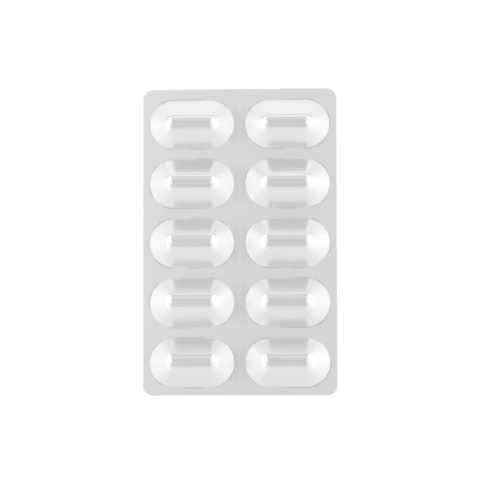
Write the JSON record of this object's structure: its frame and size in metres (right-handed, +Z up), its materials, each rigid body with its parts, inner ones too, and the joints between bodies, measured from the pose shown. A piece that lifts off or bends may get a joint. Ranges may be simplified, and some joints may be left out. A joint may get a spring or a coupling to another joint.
{
  "type": "blister pack",
  "caption": "Sealed metal foil blister pack: a flat sheet with rounded corners and rows of capsule-shaped pockets, each closed on its underside.",
  "frame": {"origin": "middle of the flat underside, where the pack rests", "axes": "+X across the sheet, along a pocket's length, +Y along the sheet's long side, +Z up out of the pockets"},
  "size_m": [0.06, 0.095, 0.0052],
  "materials": {
    "foil": "satin"
  },
  "bodies": {
    "root": {"blister_pack": "foil"}
  },
  "joints": []
}
